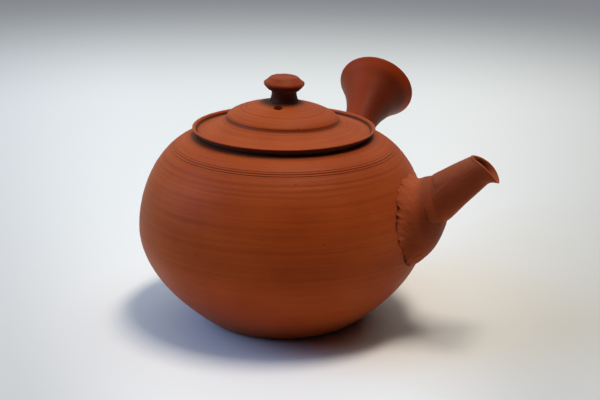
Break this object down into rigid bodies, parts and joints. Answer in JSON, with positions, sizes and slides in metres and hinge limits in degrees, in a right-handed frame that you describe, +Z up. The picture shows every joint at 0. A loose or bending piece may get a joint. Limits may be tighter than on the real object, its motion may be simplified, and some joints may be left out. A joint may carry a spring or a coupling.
{
  "type": "side-handled teapot",
  "caption": "Round red-clay kyusu teapot with a hollow side handle, short upturned spout, inner strainer and a dished lift-off lid with a knob.",
  "frame": {"origin": "centre of the flat foot's underside, on the table", "axes": "+X along the spout, +Y along the handle, +Z up"},
  "size_m": [0.1382, 0.1806, 0.0943],
  "materials": {
    "red_clay": "unglazed red clay, turned and burnished, satin",
    "inner_clay": "unglazed red clay, matte, pierced by hand",
    "luting_clay": "unglazed red clay, smeared slip, rough"
  },
  "bodies": {
    "pot": {"body": "red_clay", "strainer": "inner_clay", "spout": "red_clay", "spout_luting": "luting_clay", "handle": "red_clay", "handle_luting": "luting_clay"},
    "lid": {"lid": "red_clay", "lid_knob": "red_clay"}
  },
  "joints": [
    {"name": "lid_lift", "type": "slide", "parent": "pot", "child": "lid", "axis": [0, 0, 1], "range_m": [0, 0.06]}
  ]
}
